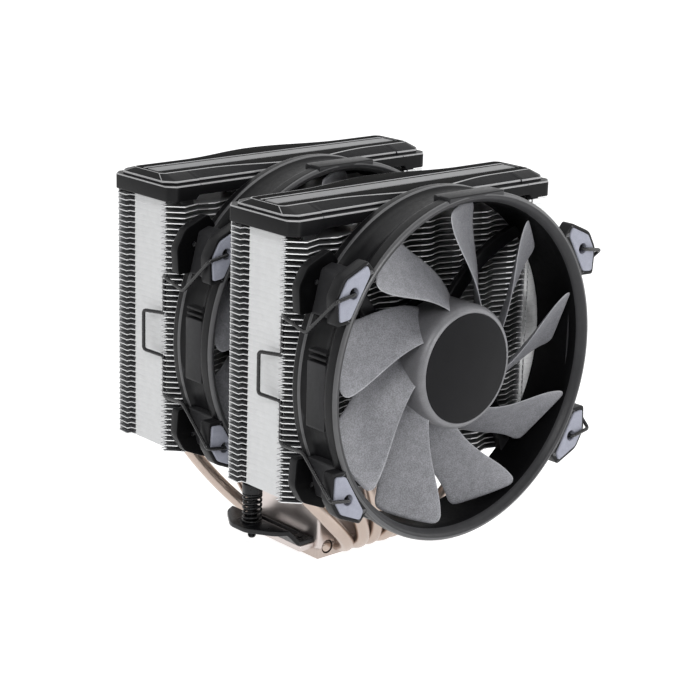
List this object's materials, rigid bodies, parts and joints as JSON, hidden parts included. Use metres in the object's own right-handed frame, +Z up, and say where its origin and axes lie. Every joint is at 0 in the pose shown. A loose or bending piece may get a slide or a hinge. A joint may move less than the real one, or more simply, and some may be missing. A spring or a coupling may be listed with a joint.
{
  "type": "cpu tower cooler",
  "caption": "Tower CPU air cooler: heat pipes rise from a plated base into finned towers with black covers, cooled by round clipped-on fans and held by sprung screws.",
  "frame": {"origin": "centre of the base's contact face, which lies on the processor", "axes": "+Z up away from the processor along the towers, +X across the width, +Y the way the air flows, so the intake fan faces -Y"},
  "size_m": [0.1458, 0.143, 0.164],
  "materials": {
    "plated_copper": "nickel plated, satin",
    "plated_block": "nickel plated, satin",
    "plated_pipe": "nickel plated copper, satin",
    "fin_sheet": "bright rolled sheet",
    "satin_strip": "brushed, satin",
    "black_cover": "fine moulded satin",
    "black_steel": "black, semi-gloss",
    "black_spring": "black oxide",
    "fan_frame_plastic": "fine moulded satin",
    "pad_rubber": "matte",
    "impeller_plastic": "fine grained satin",
    "hub_label": "printed film",
    "shaft_steel": "ground",
    "bearing_bronze": "sintered",
    "yoke_steel": "pressed",
    "magnet_ferrite": "bonded ferrite",
    "core_steel": "laminated",
    "coil_copper": "enamelled wire",
    "circuit_board": "solder resist",
    "clip_wire": "black coated wire"
  },
  "bodies": {
    "cooler": {"cold_plate": "plated_copper", "base_block": "plated_block", "heat_pipe_1": "plated_pipe", "heat_pipe_2": "plated_pipe", "heat_pipe_3": "plated_pipe", "heat_pipe_4": "plated_pipe", "heat_pipe_5": "plated_pipe", "heat_pipe_6": "plated_pipe", "heat_pipe_7": "plated_pipe", "front_fin_stack": "fin_sheet", "rear_fin_stack": "fin_sheet", "front_cover": "black_cover", "rear_cover": "black_cover", "front_cover_strip": "satin_strip", "rear_cover_strip": "satin_strip", "left_mount_bracket": "black_steel", "right_mount_bracket": "black_steel", "bracket_screws": "black_steel", "left_spring": "black_spring", "right_spring": "black_spring", "front_fan_frame": "fan_frame_plastic", "rear_fan_frame": "fan_frame_plastic", "front_fan_pads": "pad_rubber", "rear_fan_pads": "pad_rubber", "front_fan_bearing": "bearing_bronze", "rear_fan_bearing": "bearing_bronze", "front_stator_core": "core_steel", "rear_stator_core": "core_steel", "front_motor_coils": "coil_copper", "rear_motor_coils": "coil_copper", "front_circuit_board": "circuit_board", "rear_circuit_board": "circuit_board", "front_left_clip": "clip_wire", "front_right_clip": "clip_wire", "rear_left_clip": "clip_wire", "rear_right_clip": "clip_wire"},
    "front_rotor": {"front_impeller": "impeller_plastic", "front_hub_label": "hub_label", "front_fan_shaft": "shaft_steel", "front_rotor_yoke": "yoke_steel", "front_rotor_magnet": "magnet_ferrite"},
    "rear_rotor": {"rear_impeller": "impeller_plastic", "rear_hub_label": "hub_label", "rear_fan_shaft": "shaft_steel", "rear_rotor_yoke": "yoke_steel", "rear_rotor_magnet": "magnet_ferrite"},
    "left_plunger": {"left_screw_retainer": "black_steel"},
    "left_screw": {"left_mount_screw": "black_steel"},
    "right_plunger": {"right_screw_retainer": "black_steel"},
    "right_screw": {"right_mount_screw": "black_steel"}
  },
  "joints": [
    {"name": "front_fan_spin", "type": "hinge", "parent": "cooler", "child": "front_rotor", "pos_m": [0, -0.0829, 0.094], "axis": [0, 1, 0], "continuous": true},
    {"name": "rear_fan_spin", "type": "hinge", "parent": "cooler", "child": "rear_rotor", "pos_m": [0, -0.0077, 0.094], "axis": [0, 1, 0], "continuous": true},
    {"name": "left_screw_press", "type": "slide", "parent": "cooler", "child": "left_plunger", "axis": [0, 0, -1], "range_m": [0, 0.0045], "stiffness_N_per_m": 6000, "springref_m": -0.0015, "deforming": ["left_spring"]},
    {"name": "left_screw_turn", "type": "hinge", "parent": "left_plunger", "child": "left_screw", "pos_m": [-0.041, 0, 0.0074], "axis": [0, 0, 1], "continuous": true},
    {"name": "right_screw_press", "type": "slide", "parent": "cooler", "child": "right_plunger", "axis": [0, 0, -1], "range_m": [0, 0.0045], "stiffness_N_per_m": 6000, "springref_m": -0.0015, "deforming": ["right_spring"]},
    {"name": "right_screw_turn", "type": "hinge", "parent": "right_plunger", "child": "right_screw", "pos_m": [0.041, 0, 0.0074], "axis": [0, 0, 1], "continuous": true}
  ]
}
